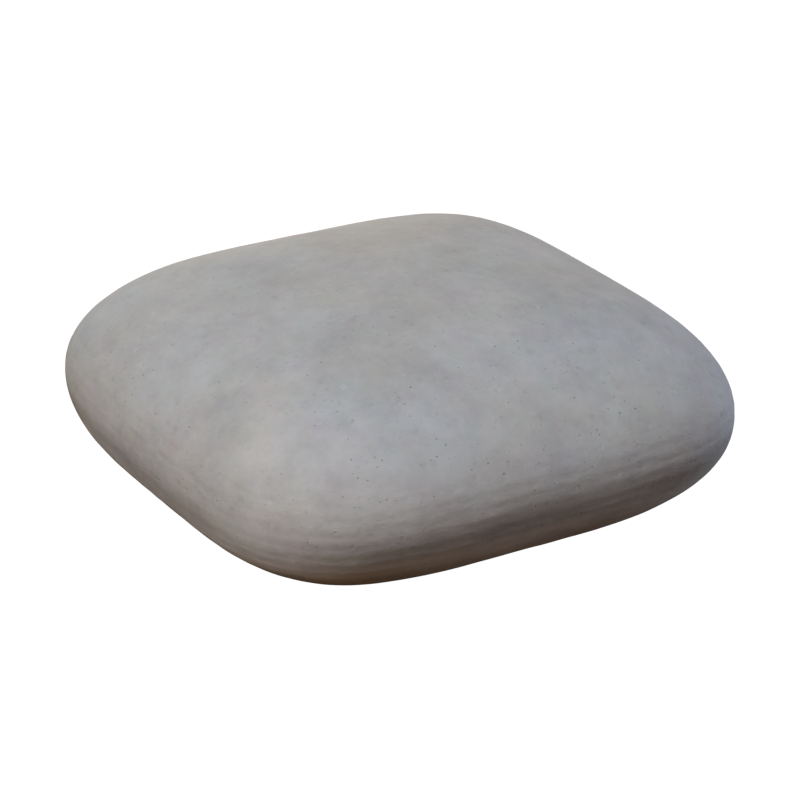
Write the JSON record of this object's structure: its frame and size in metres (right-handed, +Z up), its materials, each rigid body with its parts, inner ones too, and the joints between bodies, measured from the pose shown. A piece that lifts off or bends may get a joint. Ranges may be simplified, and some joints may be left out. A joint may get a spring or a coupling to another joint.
{
  "type": "river pebble",
  "caption": "Water-worn grey river pebble: a thick, pillow-shaped natural stone with low bedding ledges round its flank, lying on a worn flat.",
  "frame": {"origin": "under the middle of the stone, on the level of the worn flat that it rests on", "axes": "+X along the stone's longest side, +Y across it, +Z up through its thickness"},
  "size_m": [0.0642, 0.0616, 0.0304],
  "materials": {
    "stone": "matte, water-worn, finely pored"
  },
  "bodies": {
    "root": {"pebble": "stone"}
  },
  "joints": []
}
